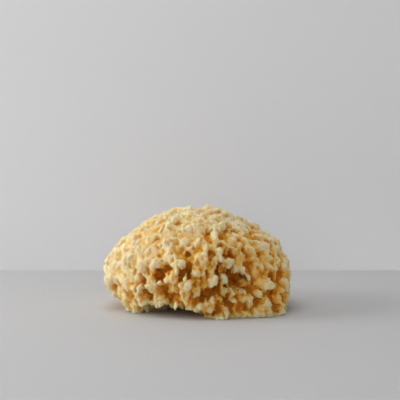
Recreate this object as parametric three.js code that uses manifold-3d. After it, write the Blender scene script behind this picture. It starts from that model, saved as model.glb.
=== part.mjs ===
// A natural honeycomb sea sponge, as sold for the bath: one grown mass with open canals between lumpy ridges.
// It is a low dome, cut flat where it grew on the rock, with a shallow arch under its left front.
// Millimetres, +Z up, resting on z = 0, centred on the origin. The canals listed by hand are on the -Y face.
import * as THREE from "three";
import { ConvexGeometry } from "three/addons/geometries/ConvexGeometry.js";
import { mergeVertices } from "three/addons/utils/BufferGeometryUtils.js";
import { ImprovedNoise } from "three/addons/math/ImprovedNoise.js";
import Module from "manifold-3d";

// The mass is set out from its core: how far it reaches from there to each side.
const coreHeight = 24;
const reach = { left: 68, right: 67, front: 53, back: 56, crown: 48 };
// How fast the flanks draw in below the core: a small drop is a rounded bun, a large one a steep wall.
// The two blend into each other across the middle.
const drop = { left: 37, right: 82 };
const sideBlend = 0.3;
// Where the skin has its points: a floor, a waist and a rim in each canal, as shares of its mouth, with one
// point a step, and more points on the ridges between. It goes a little below the foot, to be cut off there.
const skin = { waist: 0.68, rim: 1.12, step: 2.7, closest: 1.8, ridge: 3.3, tries: 16000 };
const hem = { below: 5, points: 48 };

// Swells and hollows that give the outline its character: where from the core, how high, and how wide.
const swells = [
  { toward: [13, 0, 52], rise: 3, spread: 0.22 },
  { toward: [-20, 10, 48], rise: 1.5, spread: 0.3 },
  { toward: [43, -6, 38], rise: -4, spread: 0.22 },
  { toward: [-50, 0, 33], rise: -3, spread: 0.24 },
  { toward: [60, -37, -24], rise: 9, spread: 0.3 },
  { toward: [-66, 0, 4], rise: 2.5, spread: 0.3 },
  { toward: [26, -50, 0], rise: -4, spread: 0.24 },
  { toward: [30, -42, -22], rise: 3, spread: 0.3 },
  { toward: [-10, 54, 8], rise: 3, spread: 0.35 },
  { toward: [40, 42, 16], rise: -3, spread: 0.3 },
];
const ripple = { height: 1.6, length: 17, seed: 3.7 };

// Canals on the face, by their place across and up it: mouth width, mouth height and depth,
// with a turn in degrees for those whose long way slants.
const faceCanals = [
  { x: 28, z: 26, wide: 14, high: 15, deep: 15, turn: 20 },
  { x: 17, z: 35, wide: 17, high: 9, deep: 7, turn: -25 },
  { x: 5, z: 17, wide: 19, high: 8, deep: 12, turn: 30 },
  { x: -10, z: 34, wide: 17, high: 7, deep: 11, turn: 48 },
  { x: -21, z: 34, wide: 9, high: 6, deep: 7, turn: 25 },
  { x: -38, z: 14, wide: 11, high: 13, deep: 10, turn: -8 },
  { x: -47, z: 11, wide: 6, high: 9, deep: 6, turn: -20 },
  { x: -40, z: 26, wide: 7, high: 6, deep: 6, turn: 10 },
  { x: -37, z: 34, wide: 4, high: 9, deep: 6, turn: 5 },
  { x: -54, z: 30, wide: 8, high: 4, deep: 4, turn: -30 },
  { x: -28, z: 30, wide: 6, high: 8, deep: 7, turn: 15 },
  { x: -27, z: 17, wide: 8, high: 5, deep: 6, turn: -25 },
  { x: -31, z: 10, wide: 7, high: 5, deep: 6, turn: 0 },
  { x: -14, z: 15, wide: 4, high: 7, deep: 7, turn: 0 },
  { x: -15, z: 24, wide: 4, high: 10, deep: 6, turn: -12 },
  { x: -2, z: 38, wide: 4, high: 9, deep: 7, turn: 0 },
  { x: 4, z: 28, wide: 4, high: 9, deep: 6, turn: -25 },
  { x: 8, z: 44, wide: 5, high: 13, deep: 9, turn: 0 },
  { x: 22, z: 45, wide: 7, high: 10, deep: 9, turn: 10 },
  { x: 33, z: 46, wide: 6, high: 7, deep: 7, turn: 30 },
  { x: 15, z: 51, wide: 5, high: 5, deep: 6, turn: 30 },
  { x: 36, z: 34, wide: 6, high: 12, deep: 10, turn: 32 },
  { x: 48, z: 36, wide: 5, high: 5, deep: 6, turn: 30 },
  { x: 53, z: 27, wide: 6, high: 9, deep: 7, turn: 20 },
  { x: 39, z: 22, wide: 7, high: 5, deep: 8, turn: 40 },
  { x: 42, z: 11, wide: 8, high: 6, deep: 8, turn: -35 },
  { x: 28, z: 6, wide: 5, high: 7, deep: 8, turn: 0 },
  { x: 54, z: 8, wide: 6, high: 8, deep: 6, turn: 10 },
  { x: 21, z: 15, wide: 8, high: 5, deep: 6, turn: 10 },
  { x: -14, z: 64, wide: 14, high: 9, deep: 8, turn: 0 },
  { x: -27, z: 61, wide: 7, high: 10, deep: 7, turn: -10 },
  { x: -14, z: 52, wide: 5, high: 7, deep: 8, turn: 0 },
  { x: 6, z: 61, wide: 5, high: 6, deep: 7, turn: 0 },
  { x: 16, z: 57, wide: 7, high: 4, deep: 6, turn: -25 },
  { x: -2, z: 57, wide: 5, high: 6, deep: 6, turn: -30 },
  { x: -38, z: 49, wide: 5, high: 7, deep: 6, turn: -20 },
  { x: -37, z: 43, wide: 6, high: 5, deep: 6, turn: 20 },
];

// Knobs that stand proud beside those canals: place, radius and rise.
const faceKnobs = [
  { x: 44, z: 18, radius: 4, rise: 4 },
  { x: 27, z: 43, radius: 4, rise: 3 },
  { x: -9, z: 25, radius: 5, rise: 3 },
  { x: -27, z: 23, radius: 5, rise: 3 },
  { x: 10, z: 26, radius: 4, rise: 3 },
  { x: 37, z: 27, radius: 4, rise: 2.5 },
  { x: 14, z: 5, radius: 6, rise: 4 },
  { x: -4, z: 7, radius: 5, rise: 3 },
  { x: -35, z: 5, radius: 5, rise: 3 },
  { x: -20, z: 8, radius: 5, rise: 3 },
  { x: 30, z: 13, radius: 5, rise: 3 },
  { x: -47, z: 20, radius: 5, rise: 2 },
  { x: 48, z: 28, radius: 4, rise: 2 },
  { x: 1, z: 47, radius: 5, rise: 2 },
];

// The canals elsewhere follow spirals round the mass, each shifted, sized and turned a little differently.
// The large ones stay off the face, and the small ones fill what room the others leave there and all round.
const largeCanals = { count: 380, wide: [7.5, 12], deep: [7, 11], shift: 0.08, room: 0.2, seed: 200 };
const smallCanals = { count: 1100, wide: [4.5, 7], deep: [4, 7], shift: 0.04, room: 0.7, seed: 600 };
// The face is what lies in front of this y and within this x of the middle.
const faceEdge = { y: -22, x: 60 };
// How far down a canal may point: the z of its direction from the core.
const lowestCanal = -0.4;

// Lumps all over the ridges.
const lumps = { height: 2.8, length: 6, seed: 1.9 };

// The cut underside: open canals, and the arch.
const footCanals = [
  { x: -22, y: 16, wide: 12, deep: 7 },
  { x: 4, y: 28, wide: 9, deep: 6 },
  { x: 32, y: 24, wide: 11, deep: 7 },
  { x: 6, y: -6, wide: 9, deep: 6 },
  { x: 46, y: -4, wide: 9, deep: 6 },
];
const arch = { x: -21, y: -52, wide: 60, deep: 88, high: 8 };

// A canal at least this wide is cut out by an uneven ball; a smaller one is sunk into the skin.
const cutWidth = 13;
const cutBall = { detail: 1, unevenness: 0.32, length: 0.7, footSeed: 20, archSeed: 9 };
const floorBlock = { side: 200, high: 40 };
// Points closer than this are one point.
const weldWithin = 1e-3;

const core = new THREE.Vector3(0, 0, coreHeight);
const noise = new ImprovedNoise();

// A repeatable number from 0 to 1 for each whole number.
function chance(n) {
  const value = Math.sin(n * 127.1 + 311.7) * 43758.5453;
  return value - Math.floor(value);
}

function between([low, high], share) {
  return low + (high - low) * share;
}

// Smooth unevenness, from about -1 to 1, that repeats after none of the sizes here.
function uneven(point, length, shift) {
  return noise.noise(point.x / length + shift, point.y / length + 2 * shift, point.z / length + 3 * shift);
}

// How far the mass reaches from its core along a unit direction, before canals and lumps.
function massRadius(toward) {
  const across = toward.x < 0 ? reach.left : reach.right;
  const along = toward.y < 0 ? reach.front : reach.back;
  const rightness = 0.5 + (0.5 * toward.x) / Math.hypot(toward.x, toward.y, sideBlend);
  const below = between([drop.left, drop.right], rightness);
  const up = toward.z > 0 ? reach.crown : below;
  let radius = 1 / Math.hypot(toward.x / across, toward.y / along, toward.z / up);
  for (const swell of swells) {
    const apart = new THREE.Vector3(...swell.toward).normalize().distanceTo(toward);
    radius += swell.rise * Math.exp(-((apart / swell.spread) ** 2));
  }
  radius += ripple.height * uneven(toward.clone().multiplyScalar(radius), ripple.length, ripple.seed);
  return radius;
}

function massPoint(toward) {
  return toward.clone().multiplyScalar(massRadius(toward)).add(core);
}

// The way straight out of the mass at a point on it.
function outward(point) {
  const p = point.clone().sub(core);
  const across = p.x < 0 ? reach.left : reach.right;
  const along = p.y < 0 ? reach.front : reach.back;
  const up = p.z > 0 ? reach.crown : drop.right;
  return new THREE.Vector3(p.x / across ** 2, p.y / along ** 2, p.z / up ** 2).normalize();
}

// The point of the -Y face at a place across and up it, found by halving the stretch that holds it.
function facePoint(x, z) {
  let inside = 0;
  let outside = -2 * reach.front;
  while (inside - outside > weldWithin) {
    const y = (inside + outside) / 2;
    const toward = new THREE.Vector3(x, y, z).sub(core);
    if (toward.length() < massRadius(toward.clone().normalize())) inside = y;
    else outside = y;
  }
  return new THREE.Vector3(x, inside, z);
}

// Directions spread evenly over a ball along a spiral, each moved by its own small shift.
function spiral(index, count, shift) {
  const z = 1 - (2 * index + 1) / count;
  const turn = index * Math.PI * (3 - Math.sqrt(5));
  const ring = Math.sqrt(1 - z * z);
  const jitter = [1, 2, 3].map((k) => (chance(index * 7 + k) - 0.5) * 2 * shift);
  const x = ring * Math.cos(turn) + jitter[0];
  const y = ring * Math.sin(turn) + jitter[1];
  return new THREE.Vector3(x, y, z + jitter[2]).normalize();
}

// A canal's own frame: its mouth's centre, its width and height across the mouth, and its depth along Z.
function canalFrame(point, wide, high, deep, turn) {
  const holder = new THREE.Object3D();
  holder.up.set(0, 0, 1);
  holder.position.copy(point);
  holder.lookAt(point.clone().add(outward(point)));
  holder.rotateZ(THREE.MathUtils.degToRad(turn));
  holder.scale.set(wide / 2, high / 2, deep);
  holder.updateMatrix();
  return { middle: point, matrix: holder.matrix, inverse: holder.matrix.clone().invert(), wide, high, deep };
}

function onTheFace(point) {
  return point.y < faceEdge.y && Math.abs(point.x) < faceEdge.x;
}

// Adds canals of one size along a spiral, wherever they keep that much room to those already there.
function addCanals(made, kind) {
  for (let i = 0; i < kind.count; i++) {
    const toward = spiral(i, kind.count, kind.shift);
    const point = massPoint(toward);
    const n = i + kind.seed;
    const wide = between(kind.wide, chance(n));
    const high = between(kind.wide, chance(n + 0.3));
    const deep = between(kind.deep, chance(n + 0.5));
    const crowds = (c) => c.middle.distanceTo(point) < (c.wide + c.high + wide + high) / 4 + kind.room;
    const spareTheFace = kind === largeCanals && onTheFace(point);
    if (toward.z < lowestCanal || spareTheFace || made.some(crowds)) continue;
    made.push(canalFrame(point, wide, high, deep, 180 * chance(n + 0.7)));
  }
}

function allCanals() {
  const made = faceCanals.map((c) => canalFrame(facePoint(c.x, c.z), c.wide, c.high, c.deep, c.turn));
  addCanals(made, largeCanals);
  addCanals(made, smallCanals);
  return made;
}

// How far the skin sinks at a point of the mass, where it lies in a canal: a rounded cup.
function sunk(point, canals) {
  let deepest = 0;
  const p = new THREE.Vector3();
  for (const canal of canals) {
    const away = p.copy(point).applyMatrix4(canal.inverse).length();
    if (away < 1) deepest = Math.max(deepest, canal.deep * Math.sqrt(1 - away * away));
  }
  return deepest;
}

// The directions from the core in which the skin has its points.
function skinDirections(canals) {
  const points = [];
  const place = new THREE.Vector3();
  const directions = [];
  function take(point, apart) {
    if (point.z < -hem.below || points.some((other) => other.distanceTo(point) < apart)) return;
    points.push(point.clone());
    directions.push(point.clone().sub(core).normalize());
  }
  function inAnother(canal, point) {
    const holds = (other) => place.copy(point).applyMatrix4(other.inverse).length() < 1;
    return canals.some((other) => other !== canal && holds(other));
  }
  function ring(canal, share) {
    const around = (Math.PI * share * (canal.wide + canal.high)) / 2;
    const count = Math.max(5, Math.round(around / skin.step));
    for (let i = 0; i < count; i++) {
      const turn = (2 * Math.PI * i) / count;
      const onMouth = new THREE.Vector3(share * Math.cos(turn), share * Math.sin(turn), 0);
      const toward = onMouth.applyMatrix4(canal.matrix).sub(core).normalize();
      const point = massPoint(toward);
      if (!inAnother(canal, point)) take(point, skin.closest);
    }
  }
  for (const canal of canals) take(massPoint(canal.middle.clone().sub(core).normalize()), skin.closest);
  for (const canal of canals) ring(canal, skin.waist);
  for (const canal of canals) ring(canal, skin.rim);
  for (let i = 0; i < skin.tries; i++) take(massPoint(spiral(i, skin.tries, 0)), skin.ridge);
  for (let i = 0; i < hem.points; i++) {
    const turn = (2 * Math.PI * i) / hem.points;
    const toward = new THREE.Vector3(Math.cos(turn), Math.sin(turn), 0).multiplyScalar(reach.front);
    directions.push(toward.setZ(-coreHeight - 2 * hem.below).normalize());
  }
  directions.push(new THREE.Vector3(0, 0, -1));
  return directions;
}

// The skin: its directions joined into facets, then drawn out to the mass, with knobs raised on it and canals
// sunk in it.
function skinGeometry(canals, knobs) {
  const ball = new ConvexGeometry(skinDirections(canals));
  const position = ball.getAttribute("position");
  for (let i = 0; i < position.count; i++) {
    const toward = new THREE.Vector3().fromBufferAttribute(position, i).normalize();
    const point = massPoint(toward);
    let radius = massRadius(toward) + lumps.height * uneven(point, lumps.length, lumps.seed);
    for (const k of knobs) {
      const away = point.distanceTo(k.point) / k.radius;
      radius += k.rise * Math.exp(-(away ** 2));
    }
    radius -= sunk(point, canals);
    position.setXYZ(i, toward.x * radius, toward.y * radius, toward.z * radius + coreHeight);
  }
  return ball;
}

// A ball with an uneven surface in the frame of a canal.
function blob(matrix, seed) {
  const ball = new THREE.IcosahedronGeometry(1, cutBall.detail);
  const position = ball.getAttribute("position");
  const p = new THREE.Vector3();
  for (let i = 0; i < position.count; i++) {
    p.fromBufferAttribute(position, i);
    p.multiplyScalar(1 + cutBall.unevenness * uneven(p, cutBall.length, seed));
    position.setXYZ(i, p.x, p.y, p.z);
  }
  return ball.applyMatrix4(matrix);
}

function footGeometries() {
  const made = footCanals.map((c, i) => {
    const matrix = new THREE.Matrix4().makeScale(c.wide / 2, c.wide / 2, c.deep);
    return blob(matrix.setPosition(c.x, c.y, 0), i + cutBall.footSeed);
  });
  const archMatrix = new THREE.Matrix4().makeScale(arch.wide / 2, arch.deep / 2, arch.high);
  made.push(blob(archMatrix.setPosition(arch.x, arch.y, 0), cutBall.archSeed));
  return made;
}

const wasm = await Module();
wasm.setup();

function solidOf(geometry) {
  const bare = geometry.clone();
  bare.deleteAttribute("normal");
  bare.deleteAttribute("uv");
  const merged = mergeVertices(bare, weldWithin);
  return new wasm.Manifold(
    new wasm.Mesh({
      numProp: 3,
      vertProperties: new Float32Array(merged.getAttribute("position").array),
      triVerts: new Uint32Array(merged.index.array),
    }),
  );
}

function geometryOf(solid) {
  const mesh = solid.getMesh();
  const geometry = new THREE.BufferGeometry();
  geometry.setAttribute("position", new THREE.BufferAttribute(new Float32Array(mesh.vertProperties), 3));
  geometry.setIndex(new THREE.BufferAttribute(new Uint32Array(mesh.triVerts), 1));
  return geometry;
}

// What remains in one piece: a canal that isolates a crumb of the rim leaves no loose crumb.
function largest(solid) {
  const bodies = solid.decompose();
  return bodies.reduce((best, body) => (body.volume() > best.volume() ? body : best));
}

function spongeGeometry() {
  const canals = allCanals();
  const cut = canals.filter((canal) => canal.wide >= cutWidth);
  const sunkIn = canals.filter((canal) => canal.wide < cutWidth);
  const knobs = faceKnobs.map((k) => ({ point: facePoint(k.x, k.z), radius: k.radius, rise: k.rise }));
  let solid = solidOf(skinGeometry(sunkIn, knobs));
  const cutters = cut.map((canal, i) => blob(canal.matrix, i + 1));
  for (const geometry of [...cutters, ...footGeometries()]) solid = solid.subtract(solidOf(geometry));
  const block = new THREE.BoxGeometry(floorBlock.side, floorBlock.side, floorBlock.high);
  solid = solid.subtract(solidOf(block.translate(0, 0, -floorBlock.high / 2)));
  const geometry = geometryOf(largest(solid));
  geometry.computeBoundingBox();
  const middle = geometry.boundingBox.getCenter(new THREE.Vector3());
  geometry.translate(-middle.x, -middle.y, 0);
  geometry.computeVertexNormals();
  return geometry;
}

const spongin = new THREE.MeshStandardMaterial({ color: 0xe2c489, roughness: 0.95, metalness: 0 });
spongin.flatShading = true;
const sponge = new THREE.Mesh(spongeGeometry(), spongin);
sponge.name = "sponge";

const seaSponge = new THREE.Group();
seaSponge.add(sponge);

export default seaSponge;
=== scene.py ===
import math
import time

import bpy
import numpy as np
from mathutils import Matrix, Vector


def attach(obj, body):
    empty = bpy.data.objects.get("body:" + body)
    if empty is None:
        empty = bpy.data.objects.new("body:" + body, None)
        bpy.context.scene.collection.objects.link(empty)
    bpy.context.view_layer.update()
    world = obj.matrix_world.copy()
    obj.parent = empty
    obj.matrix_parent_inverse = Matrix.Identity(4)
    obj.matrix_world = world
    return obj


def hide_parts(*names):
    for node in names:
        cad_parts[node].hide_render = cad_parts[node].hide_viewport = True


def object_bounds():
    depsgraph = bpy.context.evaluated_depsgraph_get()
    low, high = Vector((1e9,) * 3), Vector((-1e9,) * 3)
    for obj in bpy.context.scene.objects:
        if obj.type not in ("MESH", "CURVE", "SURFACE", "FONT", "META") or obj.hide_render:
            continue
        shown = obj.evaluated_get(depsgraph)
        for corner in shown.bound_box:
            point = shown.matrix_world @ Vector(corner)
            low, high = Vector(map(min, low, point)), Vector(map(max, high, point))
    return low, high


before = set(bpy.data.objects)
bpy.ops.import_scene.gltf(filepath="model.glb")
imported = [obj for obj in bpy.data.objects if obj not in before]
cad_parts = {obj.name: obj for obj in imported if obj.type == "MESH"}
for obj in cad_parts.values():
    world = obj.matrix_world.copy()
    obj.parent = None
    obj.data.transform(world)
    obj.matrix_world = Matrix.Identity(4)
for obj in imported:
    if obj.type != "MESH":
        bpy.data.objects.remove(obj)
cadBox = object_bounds()
started = time.time()
mm = 0.001  # every size in the dictionaries below is in millimetres
sameSpot = 0.01  # corners that are closer than this are one corner


def report(*words):
    print(*words, "at", round(time.time() - started), "s")


# Small helpers for pieces.


def only(piece):
    bpy.ops.object.select_all(action="DESELECT")
    piece.select_set(True)
    bpy.context.view_layer.objects.active = piece


def applyAll(piece):
    only(piece)
    for modifier in list(piece.modifiers):
        bpy.ops.object.modifier_apply(modifier=modifier.name)


def weldedCopy(node, name):
    # a node's mesh is loose triangles, so the copy is welded before anything else
    piece = bpy.data.objects.new(name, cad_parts[node].data.copy())
    bpy.context.scene.collection.objects.link(piece)
    only(piece)
    bpy.ops.object.mode_set(mode="EDIT")
    bpy.ops.mesh.select_all(action="SELECT")
    bpy.ops.mesh.remove_doubles(threshold=sameSpot * mm)
    bpy.ops.object.mode_set(mode="OBJECT")
    return piece


def soften(piece, voxel, rounds):
    remesh = piece.modifiers.new("voxels", "REMESH")
    remesh.mode = "VOXEL"
    remesh.voxel_size = voxel * mm
    smooth = piece.modifiers.new("soften", "SMOOTH")
    smooth.iterations = rounds
    applyAll(piece)


def triangulate(piece):
    only(piece)
    bpy.ops.object.mode_set(mode="EDIT")
    bpy.ops.mesh.select_all(action="SELECT")
    bpy.ops.mesh.quads_convert_to_tris()
    bpy.ops.object.mode_set(mode="OBJECT")


# Small helpers for node trees. A value is either a plain number or a socket to link.


def feed(tree, socket, value):
    if isinstance(value, bpy.types.NodeSocket):
        tree.links.new(value, socket)
    elif value is not None:
        socket.default_value = value


def place(tree, kind, inputs=(), **settings):
    node = tree.nodes.new(kind)
    for name, value in settings.items():
        setattr(node, name, value)
    for name, value in dict(inputs).items():
        feed(tree, node.inputs[name], value)
    return node


def calc(tree, operation, a, b=None, c=None, clamp=False):
    node = place(tree, "ShaderNodeMath", operation=operation, use_clamp=clamp)
    for socket, value in zip(node.inputs, (a, b, c)):
        feed(tree, socket, value)
    return node.outputs[0]


def calcVector(tree, operation, a, b=None):
    node = place(tree, "ShaderNodeVectorMath", operation=operation)
    feed(tree, node.inputs[0], a)
    feed(tree, node.inputs["Scale" if operation == "SCALE" else 1], b)
    return node.outputs["Value" if operation in ("DOT_PRODUCT", "LENGTH") else "Vector"]


def along(tree, vector, axis):
    return place(tree, "ShaderNodeSeparateXYZ", {"Vector": vector}).outputs[axis]


def between(tree, value, low, high):
    # 0 below low, 1 above high, and smooth in the middle
    node = place(tree, "ShaderNodeMapRange", {"Value": value, "From Min": low, "From Max": high})
    node.interpolation_type = "SMOOTHSTEP"
    return node.outputs["Result"]


def mixed(tree, factor, a, b):
    # a at factor 0, b at factor 1
    return calc(tree, "MULTIPLY_ADD", factor, calc(tree, "SUBTRACT", b, a), a)


def noiseAt(tree, position, size, detail):
    inputs = {"Vector": position, "Scale": 1 / (size * mm), "Detail": detail}
    return place(tree, "ShaderNodeTexNoise", inputs).outputs["Fac"]


def geometryTree(name):
    tree = bpy.data.node_groups.new(name, "GeometryNodeTree")
    tree.interface.new_socket("Geometry", in_out="INPUT", socket_type="NodeSocketGeometry")
    tree.interface.new_socket("Geometry", in_out="OUTPUT", socket_type="NodeSocketGeometry")
    return tree, place(tree, "NodeGroupInput").outputs["Geometry"]


def finishTree(tree, geometry):
    out = place(tree, "NodeGroupOutput")
    tree.links.new(geometry, out.inputs["Geometry"])
    return tree


# The sponge: the solid's own canals and ridges, and on them the lumps, nubs and pores that it leaves out.

growth = {
    "voxel": 0.8,
    "triangles": 190000,
    "core": {"voxel": 1.6, "rounds": 3},  # the solid, a little softened
    "hull": {"voxel": 4.0, "rounds": 14},  # the solid with its canals smoothed away
    "middle": (0, 0, 24),  # the lumps point away from here
    "reach": 58,  # from the middle to the skin, about
    "upright": 0.48,  # lumps and slits on the sides are this much narrower than they are high
    "swell": -0.4,  # the lumps stand out by more than the pits take off, so the rest stays a little inside
    "bend": (7.0, 4.0),  # the size of an unevenness, and how far it moves the skin
    "fray": (2.3, 2.6),
    "unevenness": {"Detail": 1.0, "Roughness": 0.6},
    "crowd": {"size": 14.0, "detail": 0.0, "shift": 0.8},  # pits crowd in some places and are few in others
    "lumps": {
        "cell": 3.5,
        "stretch": 0.35,
        "round": 1.3,
        "pits": 0.34,  # this share of the cells are pits
        "deep": 4.2,
        "crests": 1.5,
        "blend": 0.25,
        "seed": 5,
    },
    "grains": {
        "cell": 2.6,
        "stretch": 0.45,
        "round": 0.85,
        "pits": 0.3,
        "deep": 1.9,
        "crests": 0.8,
        "blend": 0.25,
        "seed": 9,
    },
    "nubs": {"cell": 2.4, "rise": (0.6, 1.0)},  # their rise in the fine and in the coarse part
    "fine": {"slope": 0.6, "upTo": 10, "heights": (40, 58)},  # the left and the top are finer than the rest
    "filled": (-0.5, -9.0),  # the solid's canals go this far in at most, in the fine and the coarse part
    "filledBlend": 2.0,
    "calm": {"x": (-67, -42), "share": 0.3},  # the left end is the smoothest
    "calmFoot": {"under": 4.5, "share": 0.4},  # and the skin near the floor is calmer too
    "canals": {"cell": 9.0, "stretch": 0.0, "radius": (-1.4, 2.5), "depth": 7.0, "blend": 0.8, "seed": 0},
    "footHigh": 2.5,  # the sides go straight down from here, so the cut underside stays flat
    "edge": 3.0,  # the density field goes this far past the solid
}


def wander(tree, position, size, reach):
    inputs = {"Vector": position, "Scale": 1 / (size * mm), **growth["unevenness"]}
    noise = place(tree, "ShaderNodeTexNoise", inputs)
    centred = calcVector(tree, "SUBTRACT", noise.outputs["Color"], (0.5, 0.5, 0.5))
    return calcVector(tree, "SCALE", centred, reach * mm)


def insideOf(tree, mesh, position, toward):
    # 1 inside a closed mesh and -1 outside it: a line going out of it first meets a face from behind
    ray = place(tree, "GeometryNodeRaycast", {"Source Position": position, "Ray Direction": toward})
    feed(tree, ray.inputs["Target Geometry"], mesh)
    leaving = calcVector(tree, "DOT_PRODUCT", ray.outputs["Hit Normal"], toward)
    inside = calc(tree, "MULTIPLY", ray.outputs["Is Hit"], calc(tree, "GREATER_THAN", leaving, 0.0))
    return calc(tree, "MULTIPLY_ADD", inside, 2.0, -1.0)


def distanceUnder(tree, mesh, position, toward):
    near = place(tree, "GeometryNodeProximity", {"Source Position": position}, target_element="FACES")
    feed(tree, near.inputs[0], mesh)
    return calc(tree, "MULTIPLY", near.outputs["Distance"], insideOf(tree, mesh, position, toward))


def cells(tree, position, feature, size):
    # how far the nearest or second nearest cell's middle is, in cell sizes, and that cell's random number
    inputs = {"Vector": position, "Scale": 1 / (size * mm)}
    node = place(tree, "ShaderNodeTexVoronoi", inputs, feature=feature)
    return node.outputs["Distance"], along(tree, node.outputs["Color"], "X")


def outFromMiddle(tree, position):
    around = calcVector(tree, "SUBTRACT", position, tuple(Vector(growth["middle"]) * mm))
    return calcVector(tree, "NORMALIZE", around), calcVector(tree, "LENGTH", around)


def drawnOut(tree, toward, away, settings):
    # a place among cells that are longer on the way in than across it: at stretch 0 they go all the way in
    middle = Vector(growth["middle"]) * mm
    reach = growth["reach"] * mm
    squeezed = calc(tree, "MULTIPLY_ADD", away, settings["stretch"], reach * (1 - settings["stretch"]))
    inCells = calcVector(tree, "SCALE", toward, squeezed)
    inCells = calcVector(tree, "MULTIPLY", inCells, (1, 1, growth["upright"]))
    seed = settings["seed"] * settings["cell"] * mm
    return calcVector(tree, "ADD", inCells, tuple(middle + Vector((seed,) * 3)))


def lumpHeight(tree, inCells, crowd, lumps):
    # each cell is a rounded lump at a height of its own: high ones join in ridges, and the lowest are pits
    nearest, lot = cells(tree, inCells, "F1", lumps["cell"])
    second, otherLot = cells(tree, inCells, "F2", lumps["cell"])
    apart = calc(tree, "SUBTRACT", second, nearest)
    share = calc(tree, "MULTIPLY_ADD", apart, -0.5 / lumps["blend"], 0.5, clamp=True)
    lot = mixed(tree, share, lot, otherLot)
    pit = calc(tree, "MULTIPLY_ADD", calc(tree, "ADD", lot, crowd), -1 / lumps["pits"], 1.0, clamp=True)
    height = calc(tree, "MULTIPLY_ADD", lot, lumps["crests"] * mm, -0.5 * lumps["crests"] * mm)
    height = calc(tree, "MULTIPLY_ADD", pit, -lumps["deep"] * mm, height)
    crown = calc(tree, "SUBTRACT", 0.5, mixed(tree, share, nearest, second))
    return calc(tree, "MULTIPLY_ADD", crown, 2 * lumps["round"] * mm, height)


def canalHole(tree, inCells, under, canals):
    # a hole round the middle of each cell, closing below its depth: where the radius is under 0 there is none
    away, lot = cells(tree, inCells, "F1", canals["cell"])
    low, high = canals["radius"]
    radius = calc(tree, "MULTIPLY_ADD", lot, (high - low) * mm, low * mm)
    hole = calc(tree, "SUBTRACT", radius, calc(tree, "MULTIPLY", away, canals["cell"] * mm))
    tooDeep = calc(tree, "MAXIMUM", calc(tree, "SUBTRACT", under, canals["depth"] * mm), 0.0)
    return calc(tree, "SUBTRACT", hole, tooDeep)


def coarseness(tree, position):
    # 0 over the left and the top, 1 over the front, the right and the lower sides
    fine = growth["fine"]
    across = calc(tree, "MINIMUM", along(tree, position, "X"), fine["upTo"] * mm)
    level = calc(tree, "MULTIPLY_ADD", across, -fine["slope"], along(tree, position, "Z"))
    low, high = fine["heights"]
    return calc(tree, "SUBTRACT", 1.0, between(tree, level, low * mm, high * mm))


def shiftedPlace(tree, position):
    # where the solid is looked up for a point: a little beside it, so that the skin wanders and frays
    inputs = {axis: along(tree, position, axis) for axis in "XY"}
    inputs["Z"] = calc(tree, "MAXIMUM", along(tree, position, "Z"), growth["footHigh"] * mm)
    lifted = place(tree, "ShaderNodeCombineXYZ", inputs).outputs[0]
    bent = calcVector(tree, "ADD", lifted, wander(tree, position, *growth["bend"]))
    return calcVector(tree, "ADD", bent, wander(tree, position, *growth["fray"]))


def underSolid(tree, core, hull, bent, toward, coarse):
    # how far under the solid's surface a point lies, with the solid's deepest canals partly filled
    under = distanceUnder(tree, core, bent, toward)
    underHull = distanceUnder(tree, hull, bent, toward)
    fine, rough = growth["filled"]
    filled = calc(tree, "ADD", underHull, mixed(tree, coarse, fine * mm, rough * mm))
    return calc(tree, "SMOOTH_MAX", under, filled, growth["filledBlend"] * mm)


def liveliness(tree, position):
    foot, calm = growth["calmFoot"], growth["calm"]
    offFloor = between(tree, along(tree, position, "Z"), 0.0, foot["under"] * mm)
    awake = between(tree, along(tree, position, "X"), calm["x"][0] * mm, calm["x"][1] * mm)
    shares = mixed(tree, offFloor, foot["share"], 1.0), mixed(tree, awake, calm["share"], 1.0)
    return calc(tree, "MULTIPLY", *shares)


def growthHeight(tree, position, bent, toward, away, coarse):
    # how far the lumps, grains and nubs stand over the solid's surface, less than 0 in the pits
    setting = growth["crowd"]
    crowd = noiseAt(tree, position, setting["size"], setting["detail"])
    crowd = calc(tree, "MULTIPLY_ADD", crowd, setting["shift"], -0.5 * setting["shift"])
    lumps, grains = (
        lumpHeight(tree, drawnOut(tree, toward, away, growth[kind]), crowd, growth[kind])
        for kind in ("lumps", "grains")
    )
    height = mixed(tree, coarse, grains, lumps)
    nub, _ = cells(tree, bent, "F1", growth["nubs"]["cell"])
    fine, rough = growth["nubs"]["rise"]
    rise = mixed(tree, coarse, 2 * fine * mm, 2 * rough * mm)
    height = calc(tree, "MULTIPLY_ADD", calc(tree, "SUBTRACT", 0.5, nub), rise, height)
    return calc(tree, "MULTIPLY", height, liveliness(tree, position))


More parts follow.
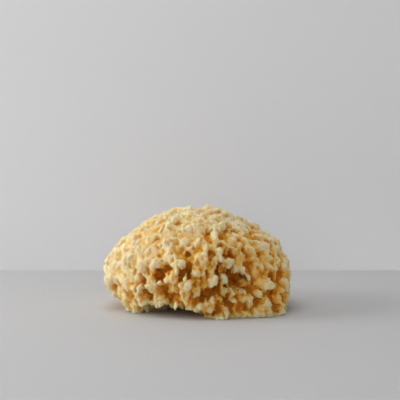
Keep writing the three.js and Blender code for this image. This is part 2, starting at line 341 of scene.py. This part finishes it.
def growthTree(hullPiece):
    tree, core = geometryTree("sponge growth")
    hull = place(tree, "GeometryNodeObjectInfo", {"Object": hullPiece}).outputs["Geometry"]
    position = place(tree, "GeometryNodeInputPosition").outputs[0]
    bent = shiftedPlace(tree, position)
    toward, away = outFromMiddle(tree, bent)
    coarse = coarseness(tree, position)
    under = underSolid(tree, core, hull, bent, toward, coarse)
    height = growthHeight(tree, position, bent, toward, away, coarse)
    inside = calc(tree, "ADD", calc(tree, "ADD", under, growth["swell"] * mm), height)
    canals = growth["canals"]
    hole = canalHole(tree, drawnOut(tree, toward, away, canals), under, canals)
    inside = calc(tree, "SMOOTH_MIN", inside, calc(tree, "MULTIPLY", hole, -1.0), canals["blend"] * mm)
    inside = calc(tree, "MINIMUM", inside, along(tree, position, "Z"))

    # the skin is where the density is 1
    low = [edge - growth["edge"] * mm for edge in cadBox[0]]
    high = [edge + growth["edge"] * mm for edge in cadBox[1]]
    density = calc(tree, "MULTIPLY_ADD", inside, 1 / mm, 1.0)
    box = {"Density": density, "Background": 0.0, "Min": low, "Max": high}
    cube = place(tree, "GeometryNodeVolumeCube", box)
    for axis, start, end in zip("XYZ", low, high):
        cube.inputs["Resolution " + axis].default_value = int((end - start) / (growth["voxel"] * mm))
    skin = place(tree, "GeometryNodeVolumeToMesh", {"Volume": cube.outputs[0], "Threshold": 1.0})
    return finishTree(tree, skin.outputs[0])


def dropCrumbs(piece):
    # only the largest connected body stays, so no loose crumb and no closed bubble is left: every corner
    # takes the lowest number among its neighbours until all the corners of a body have the same one
    mesh = piece.data
    count = len(mesh.vertices)
    ends = np.empty(len(mesh.edges) * 2, dtype=np.int32)
    mesh.edges.foreach_get("vertices", ends)
    first, second = ends.reshape(-1, 2).T
    body = np.arange(count)
    changing = True
    while changing:
        lowest = np.minimum(body[first], body[second])
        before = body.copy()
        np.minimum.at(body, first, lowest)
        np.minimum.at(body, second, lowest)
        body = body[body]
        changing = bool((body != before).any())
    names, sizes = np.unique(body, return_counts=True)
    loose = body != names[sizes.argmax()]
    only(piece)
    bpy.ops.object.mode_set(mode="EDIT")
    bpy.ops.mesh.select_mode(type="VERT")
    bpy.ops.mesh.select_all(action="DESELECT")
    bpy.ops.object.mode_set(mode="OBJECT")
    mesh.vertices.foreach_set("select", loose)
    bpy.ops.object.mode_set(mode="EDIT")
    bpy.ops.mesh.delete(type="VERT")
    bpy.ops.object.mode_set(mode="OBJECT")
    report("dropped", len(names) - 1, "crumbs")


# Where a point lies in the relief: 0 on the crests, 1 deep down. The finish paints the deeper places darker
# and more orange, which is painted shade in the pits and canals.

relief = {
    "blur": 24,  # steps from corner to corner
    "proud": 3.0,  # a place this far over or under its surroundings is half the range higher or deeper
    "level": 0.26,  # the depth of a place that is neither a crest nor a dip
    "deepest": 9.0,  # under the smoothed solid
    "fleshAndShade": 0.22,  # darker in the coarse part, over the front, the right and the lower sides: partly more of the darker inside shows there, partly painted shade on the sides away from the window,
    "low": {"share": 0.16, "under": 45, "x": (-35, 15), "left": -0.4},  # painted shade low down on the right, and painted light low down on the left, where the window's light falls,
    "cut": {"share": 0.5, "under": 12},  # and painted shade on the faces that look down near the floor
}


def reliefTree(hullPiece):
    tree, mesh = geometryTree("sponge relief")
    hull = place(tree, "GeometryNodeObjectInfo", {"Object": hullPiece}).outputs["Geometry"]
    position = place(tree, "GeometryNodeInputPosition").outputs[0]
    normal = place(tree, "GeometryNodeInputNormal").outputs[0]
    toward, _ = outFromMiddle(tree, position)
    blurred = place(tree, "GeometryNodeBlurAttribute", data_type="FLOAT_VECTOR")
    feed(tree, blurred.inputs["Value"], position)
    feed(tree, blurred.inputs["Iterations"], relief["blur"])
    # a place that sinks below its surroundings or lies under the smoothed solid is painted darker: painted
    # shade in the pits and canals
    offset = calcVector(tree, "SUBTRACT", position, blurred.outputs["Value"])
    proud = calcVector(tree, "DOT_PRODUCT", offset, normal)
    local = calc(tree, "MULTIPLY_ADD", proud, -0.5 / (relief["proud"] * mm), relief["level"])
    under = calc(tree, "MULTIPLY", distanceUnder(tree, hull, position, toward), 1 / (relief["deepest"] * mm))
    depth = calc(tree, "ADD", local, under)
    # darker over the coarse front, right and lower sides: partly the darker inside, partly painted shade
    depth = calc(tree, "MULTIPLY_ADD", coarseness(tree, position), relief["fleshAndShade"], depth)

    # painted shade low down on the right, painted light low down on the left, and painted shade on the
    # underside near the floor
    low, cut = relief["low"], relief["cut"]
    shadedRight = between(tree, along(tree, position, "X"), low["x"][0] * mm, low["x"][1] * mm)
    # faces that look down near the floor are painted darker: painted shade under the sponge
    facingDown = calc(tree, "MULTIPLY", along(tree, normal, "Z"), -1.0, clamp=True)
    for part, where in ((low, mixed(tree, shadedRight, low["left"], 1.0)), (cut, facingDown)):
        raised = between(tree, along(tree, position, "Z"), 0.0, part["under"] * mm)
        there = calc(tree, "MULTIPLY", calc(tree, "SUBTRACT", 1.0, raised), where)
        depth = calc(tree, "MULTIPLY_ADD", there, part["share"], depth)
    store = place(tree, "GeometryNodeStoreNamedAttribute", {"Name": "depth"}, data_type="FLOAT")
    store.domain = "POINT"
    feed(tree, store.inputs["Geometry"], mesh)
    feed(tree, store.inputs["Value"], calc(tree, "MULTIPLY", depth, 1.0, clamp=True))
    return finishTree(tree, store.outputs[0])


def makeSponge():
    hull = weldedCopy("sponge", "hull")
    soften(hull, **growth["hull"])
    piece = weldedCopy("sponge", "honeycomb")
    soften(piece, **growth["core"])
    report("core with", len(piece.data.polygons), "faces")
    piece.modifiers.new("growth", "NODES").node_group = growthTree(hull)
    applyAll(piece)
    report("grown to", len(piece.data.polygons), "faces")
    dropCrumbs(piece)
    triangulate(piece)
    thin = piece.modifiers.new("thin", "DECIMATE")
    thin.ratio = min(1.0, growth["triangles"] / len(piece.data.polygons))
    piece.modifiers.new("relief", "NODES").node_group = reliefTree(hull)
    applyAll(piece)
    bpy.data.objects.remove(hull)
    bpy.ops.object.shade_smooth()
    report("sponge with", len(piece.data.polygons), "triangles")
    return piece


# The felt: short fibres that stand out of the skin and lean together in tufts.

felt = {
    "tuft": 2.6,
    "gather": 0.5,  # how much a fibre leans to the middle of its tuft,
    "stray": 0.7,  # and how much it leans at random
    "curl": (3.2, 0.8, -0.1),  # how far a tip bends over, in widths and lengths of its fibre
    "waist": 1.6,  # a fibre with a joint halfway is thicker there than a cone would be
    "fromFloor": (1.0, 2.2),  # none where the sponge rests
    "seeds": {"spin": 50, "length": 90},  # added to the seed of a kind
    "kinds": {
        "felt.001": {"count": 110000, "length": (0.3, 0.7), "width": 0.22, "joints": 1, "seed": 11},
        "felt.002": {"count": 110000, "length": (0.35, 0.95), "width": 0.16, "joints": 1, "seed": 12},
        "felt.003": {"count": 46000, "length": (0.7, 1.4), "width": 0.12, "joints": 2, "seed": 13},
    },
}


def makeStrand(joints):
    # one three-sided fibre of unit length and unit width that bends and tapers to a point
    bpy.ops.mesh.primitive_cone_add(vertices=3, radius1=0.5, radius2=0.0, depth=1, location=(0, 0, 0.5))
    strand = bpy.context.object
    bpy.ops.object.transform_apply(location=True, rotation=False, scale=False)
    strand.name = "strand"
    if joints == 2:
        halfway = (0, 0, 0.5)
        bpy.ops.object.mode_set(mode="EDIT")
        bpy.ops.mesh.select_all(action="SELECT")
        bpy.ops.mesh.bisect(plane_co=halfway, plane_no=(0, 0, 1))
        bpy.ops.transform.resize(value=(felt["waist"], felt["waist"], 1.0), center_override=halfway)
        bpy.ops.mesh.select_all(action="DESELECT")
        bpy.ops.object.mode_set(mode="OBJECT")
        top = max(corner.co.z for corner in strand.data.vertices)
        for corner in strand.data.vertices:
            corner.select = corner.co.z == top
        bpy.ops.object.mode_set(mode="EDIT")
        bpy.ops.transform.translate(value=felt["curl"])
        bpy.ops.object.mode_set(mode="OBJECT")
    triangulate(strand)
    return strand


def feltPoints(tree, skinMesh, position, kind, area):
    # most on the crests, few in the pits, and none near the floor
    depth = place(tree, "GeometryNodeInputNamedAttribute", {"Name": "depth"}, data_type="FLOAT")
    onCrests = calc(tree, "SUBTRACT", 1.0, depth.outputs["Attribute"])
    low, high = felt["fromFloor"]
    offFloor = between(tree, along(tree, position, "Z"), low * mm, high * mm)
    onCrests = calc(tree, "MULTIPLY", onCrests, offFloor)
    points = place(tree, "GeometryNodeDistributePointsOnFaces", {"Mesh": skinMesh, "Seed": kind["seed"]})
    feed(tree, points.inputs["Density"], calc(tree, "MULTIPLY", onCrests, kind["count"] / area))
    return points


def fibreTurn(tree, normal, position, seed):
    # out of the skin, leaning to the middle of the tuft, and turned at random on its own axis
    tufts = place(tree, "ShaderNodeTexVoronoi", {"Vector": position, "Scale": 1 / (felt["tuft"] * mm)})
    toTuft = calcVector(tree, "SUBTRACT", tufts.outputs["Position"], position)
    lean = calcVector(tree, "SCALE", toTuft, felt["gather"] / (felt["tuft"] * mm))
    stray = place(tree, "FunctionNodeRandomValue", {"Seed": seed}, data_type="FLOAT_VECTOR")
    feed(tree, stray.inputs["Min"], (-felt["stray"],) * 3)
    feed(tree, stray.inputs["Max"], (felt["stray"],) * 3)
    way = calcVector(tree, "ADD", normal, calcVector(tree, "ADD", lean, stray.outputs["Value"]))
    turn = place(tree, "FunctionNodeAlignRotationToVector", {"Vector": way}, axis="Z")
    spinSeed = seed + felt["seeds"]["spin"]
    spin = place(tree, "FunctionNodeRandomValue", {"Max": math.tau, "Seed": spinSeed}, data_type="FLOAT")
    onAxis = place(tree, "ShaderNodeCombineXYZ", {"Z": spin.outputs["Value"]}).outputs[0]
    spun = place(tree, "FunctionNodeRotateRotation", {"Rotation": turn.outputs[0]}, rotation_space="LOCAL")
    feed(tree, spun.inputs["Rotate By"], onAxis)
    return spun.outputs[0]


def feltTree(skin, strand, kind, area):
    tree, _ = geometryTree("felt")
    skinMesh = place(tree, "GeometryNodeObjectInfo", {"Object": skin}).outputs["Geometry"]
    strandMesh = place(tree, "GeometryNodeObjectInfo", {"Object": strand}).outputs["Geometry"]
    position = place(tree, "GeometryNodeInputPosition").outputs[0]
    points = feltPoints(tree, skinMesh, position, kind, area)
    turn = fibreTurn(tree, points.outputs["Normal"], position, kind["seed"])
    lengthSeed = kind["seed"] + felt["seeds"]["length"]
    length = place(tree, "FunctionNodeRandomValue", {"Seed": lengthSeed}, data_type="FLOAT")
    feed(tree, length.inputs["Min"], kind["length"][0] * mm)
    feed(tree, length.inputs["Max"], kind["length"][1] * mm)
    width = kind["width"] * mm
    size = place(tree, "ShaderNodeCombineXYZ", {"X": width, "Y": width, "Z": length.outputs["Value"]})
    sown = place(tree, "GeometryNodeInstanceOnPoints", {"Points": points.outputs["Points"]})
    feed(tree, sown.inputs["Instance"], strandMesh)
    feed(tree, sown.inputs["Rotation"], turn)
    feed(tree, sown.inputs["Scale"], size.outputs[0])
    real = place(tree, "GeometryNodeRealizeInstances", {"Geometry": sown.outputs[0]})
    return finishTree(tree, real.outputs[0])


def makeFelt(skin, name):
    kind = felt["kinds"][name]
    strand = makeStrand(kind["joints"])
    area = sum(face.area for face in skin.data.polygons)
    piece = bpy.data.objects.new(name, bpy.data.meshes.new(name))
    bpy.context.scene.collection.objects.link(piece)
    piece.modifiers.new("felt", "NODES").node_group = feltTree(skin, strand, kind, area)
    applyAll(piece)
    bpy.data.objects.remove(strand)
    report(name, "with", len(piece.data.polygons), "triangles")
    return piece


# The finish: pale on the ridges, golden on their sides and orange-brown in the canals, which is painted shade
# that follows the depth.

finish = {
    "shades": [
        # from the crests down into the canals: the darker, more orange stops are painted shade
        (0.0, (0.91, 0.81, 0.55)),
        (0.26, (0.89, 0.72, 0.40)),
        (0.48, (0.84, 0.56, 0.18)),
        (0.68, (0.81, 0.43, 0.065)),
        (1.0, (0.58, 0.18, 0.010)),
    ],
    "tan": (0.78, 0.58, 0.30),  # in broad patches on the paler half of the shades
    "paleHalf": 0.5,
    "patches": {"size": 22, "detail": 2.0, "edges": (0.42, 0.68)},
    "specks": {"size": 1.8, "detail": 3.0, "shift": 0.22},
    "pores": {"size": 0.55, "detail": 4.0, "depth": 0.38},
    "roughness": (0.82, 1.0),
    "shine": 0.12,
    "glow": 0.7,
    "glowReach": 10.0,
    "glowShare": (1.0, 0.45, 0.08),  # red light goes furthest
    "fibrePaler": 0.08,
    "fibreGlow": 0.35,
}


def ramp(tree, factor, stops):
    node = place(tree, "ShaderNodeValToRGB", {"Fac": factor})
    elements = node.color_ramp.elements
    while len(elements) < len(stops):
        elements.new(0.5)
    for element, (at, shade) in zip(elements, stops):
        element.position = at
        element.color = (*shade, 1.0)
    return node.outputs["Color"]


def mottleGroup():
    # the colour, roughness and pores that both materials share
    tree = bpy.data.node_groups.new("spongin mottle", "ShaderNodeTree")
    tree.interface.new_socket("Depth", in_out="INPUT", socket_type="NodeSocketFloat")
    outputs = {"Color": "NodeSocketColor", "Roughness": "NodeSocketFloat", "Height": "NodeSocketFloat"}
    for name, kind in outputs.items():
        tree.interface.new_socket(name, in_out="OUTPUT", socket_type=kind)
    position = place(tree, "ShaderNodeTexCoord").outputs["Object"]
    depth = place(tree, "NodeGroupInput").outputs["Depth"]
    specks, patches, pores = (
        noiseAt(tree, position, finish[kind]["size"], finish[kind]["detail"])
        for kind in ("specks", "patches", "pores")
    )
    shift = finish["specks"]["shift"]
    shifted = calc(tree, "ADD", depth, calc(tree, "MULTIPLY_ADD", specks, 2 * shift, -shift), clamp=True)
    pale = calc(tree, "SUBTRACT", finish["paleHalf"], shifted)
    patched = between(tree, patches, *finish["patches"]["edges"])
    tone = place(tree, "ShaderNodeMix", data_type="RGBA", blend_type="MIX")
    feed(tree, tone.inputs["Factor"], calc(tree, "MULTIPLY", patched, pale, clamp=True))
    feed(tree, tone.inputs[6], ramp(tree, shifted, finish["shades"]))
    feed(tree, tone.inputs[7], (*finish["tan"], 1.0))
    smooth, rough = finish["roughness"]
    out = place(tree, "NodeGroupOutput")
    tree.links.new(tone.outputs[2], out.inputs["Color"])
    tree.links.new(mixed(tree, specks, smooth, rough), out.inputs["Roughness"])
    tree.links.new(pores, out.inputs["Height"])
    return tree


def sponginMaterial(name, mottle, paler, glow, poreDepth):
    material = bpy.data.materials.new(name)
    material.use_nodes = True
    tree = material.node_tree
    shader = tree.nodes["Principled BSDF"]
    depth = place(tree, "ShaderNodeAttribute", attribute_name="depth").outputs["Fac"]
    shade = place(tree, "ShaderNodeGroup", node_tree=mottle)
    feed(tree, shade.inputs["Depth"], calc(tree, "SUBTRACT", depth, paler))
    feed(tree, shader.inputs["Base Color"], shade.outputs["Color"])
    feed(tree, shader.inputs["Roughness"], shade.outputs["Roughness"])
    if poreDepth:
        bump = place(tree, "ShaderNodeBump", {"Strength": 1.0, "Distance": poreDepth * mm})
        feed(tree, bump.inputs["Height"], shade.outputs["Height"])
        feed(tree, shader.inputs["Normal"], bump.outputs["Normal"])
    shader.inputs["Specular IOR Level"].default_value = finish["shine"]
    shader.inputs["Subsurface Weight"].default_value = glow
    shader.inputs["Subsurface Radius"].default_value = finish["glowShare"]
    shader.inputs["Subsurface Scale"].default_value = finish["glowReach"] * mm
    return material


# The stage: a pale floor that meets a pale wall behind the sponge.

stage = {
    "half": 1200,
    "wallBehind": 169,
    "wallHigh": 1500,
    "floorTone": (0.53, 0.525, 0.525),
    "wallTone": (0.84, 0.845, 0.86),
    "roughness": 0.75,
}


def plainMaterial(name, tone):
    material = bpy.data.materials.new(name)
    material.use_nodes = True
    shader = material.node_tree.nodes["Principled BSDF"]
    shader.inputs["Base Color"].default_value = (*tone, 1)
    shader.inputs["Roughness"].default_value = stage["roughness"]
    return material


def wallMaterial():
    # nothing is seen of the wall from behind it
    material = plainMaterial("wall", stage["wallTone"])
    tree = material.node_tree
    facing = place(tree, "ShaderNodeNewGeometry").outputs["Backfacing"]
    clear = place(tree, "ShaderNodeBsdfTransparent").outputs[0]
    blend = place(tree, "ShaderNodeMixShader", {"Fac": facing})
    tree.links.new(tree.nodes["Principled BSDF"].outputs[0], blend.inputs[1])
    tree.links.new(clear, blend.inputs[2])
    tree.links.new(blend.outputs[0], tree.nodes["Material Output"].inputs["Surface"])
    return material


def makeStage():
    half = stage["half"] * mm
    bpy.ops.object.select_all(action="DESELECT")
    bpy.ops.mesh.primitive_plane_add(size=2 * half)
    floor = bpy.context.object
    floor.name = "floor"
    floor.data.materials.append(plainMaterial("floor", stage["floorTone"]))
    at = (0, stage["wallBehind"] * mm, stage["wallHigh"] * mm / 2)
    bpy.ops.mesh.primitive_plane_add(size=1, location=at, rotation=(math.pi / 2, 0, 0))
    wall = bpy.context.object
    wall.name = "wall"
    wall.scale = (2 * half, stage["wallHigh"] * mm, 1)
    bpy.ops.object.transform_apply(location=True, rotation=True, scale=True)
    wall.data.materials.append(wallMaterial())


# The light: a window on the left and a little behind, the sky above it, and weak light back from the room.

lamps = {
    "window": {"at": (-1300, 90, 450), "size": 1100, "power": 22},
    "sky": {"at": (-300, 60, 1350), "size": 1100, "power": 10.5},
    "room": {"at": (-200, -1350, 500), "size": 1100, "power": 4.6},
    "right": {"at": (1000, -850, 500), "size": 1100, "power": 3.2},
}
lampsAim = (0, 0, 30)
air = {"tone": (0.97, 0.98, 1.0), "strength": 0.02}


def makeLights():
    for name, lamp in lamps.items():
        data = bpy.data.lights.new(name, "AREA")
        data.shape = "DISK"
        data.size = lamp["size"] * mm
        data.energy = lamp["power"]
        light = bpy.data.objects.new(name, data)
        light.location = Vector(lamp["at"]) * mm
        aim = Vector(lampsAim) * mm - light.location
        light.rotation_euler = aim.to_track_quat("-Z", "Y").to_euler()
        bpy.context.scene.collection.objects.link(light)
    world = bpy.data.worlds.new("studio air")
    world.use_nodes = True
    background = world.node_tree.nodes["Background"]
    background.inputs["Color"].default_value = (*air["tone"], 1)
    background.inputs["Strength"].default_value = air["strength"]
    bpy.context.scene.world = world
    bpy.context.scene.view_settings.view_transform = "Standard"


# The camera: a long lens from the front, looking down a little.

view = {"at": (2.2, -741.8, 140.9), "pitch": 4.87, "lens": 92, "sensor": 36}


def makeCamera():
    data = bpy.data.cameras.new("camera")
    data.lens = view["lens"]
    data.sensor_width = view["sensor"]
    camera = bpy.data.objects.new("camera", data)
    camera.location = Vector(view["at"]) * mm
    camera.rotation_euler = (math.radians(90 - view["pitch"]), 0, 0)
    bpy.context.scene.collection.objects.link(camera)
    bpy.context.scene.camera = camera


makeCamera()
makeLights()
makeStage()
sponge = makeSponge()
pieces = [sponge] + [makeFelt(sponge, name) for name in felt["kinds"]]
mottle = mottleGroup()
spongin = sponginMaterial("dry spongin", mottle, 0.0, finish["glow"], finish["pores"]["depth"])
fibre = sponginMaterial("spongin fibre", mottle, finish["fibrePaler"], finish["fibreGlow"], 0.0)
for piece in pieces:
    piece.data.materials.clear()
    piece.data.materials.append(spongin if piece == sponge else fibre)
    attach(piece, "root")
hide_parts("sponge")
